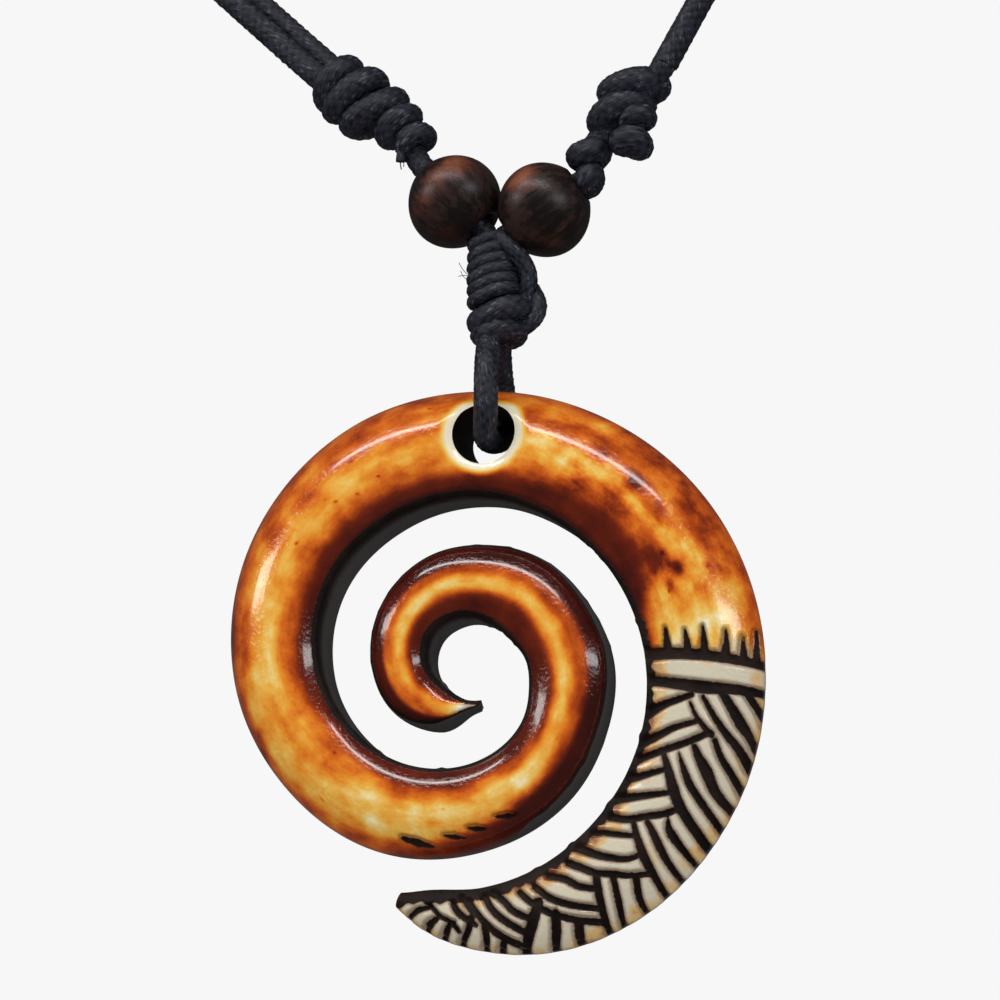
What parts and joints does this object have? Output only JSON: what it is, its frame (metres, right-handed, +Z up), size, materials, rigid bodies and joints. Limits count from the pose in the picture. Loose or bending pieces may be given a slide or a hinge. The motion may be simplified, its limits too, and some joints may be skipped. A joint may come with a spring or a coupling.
{
  "type": "koru pendant necklace",
  "caption": "Spiral koru pendant with a carved tail, hung by a knotted waxed cord with wood beads on a doubled neck loop.",
  "frame": {"origin": "where the neck loop sits on the nape, under the closure knot", "axes": "+Z up as the necklace hangs, -Y towards the carved front of the pendant, +X to the right seen from the front"},
  "size_m": [0.1296, 0.0099, 0.2303],
  "materials": {
    "stained_resin": "amber stained bone look, polished front, dark sawn edges",
    "waxed_cord": "black waxed plaited cotton, slight sheen",
    "dark_wood": "dark stained turned wood, satin"
  },
  "bodies": {
    "necklace": {"hanging_loop": "waxed_cord", "centre_knot": "waxed_cord", "bead_left": "dark_wood", "bead_right": "dark_wood", "bead_cord_left": "waxed_cord", "bead_cord_right": "waxed_cord", "side_knot_left": "waxed_cord", "side_knot_right": "waxed_cord", "neck_cord_left_outer": "waxed_cord", "neck_cord_left_inner": "waxed_cord", "neck_cord_right_outer": "waxed_cord", "neck_cord_right_inner": "waxed_cord", "closure_knot": "waxed_cord"},
    "pendant": {"koru": "stained_resin"}
  },
  "joints": [
    {"name": "pendant_swing", "type": "hinge", "parent": "necklace", "child": "pendant", "pos_m": [0, 0, -0.181], "axis": [0, 1, 0], "range_deg": [-30, 30]}
  ]
}
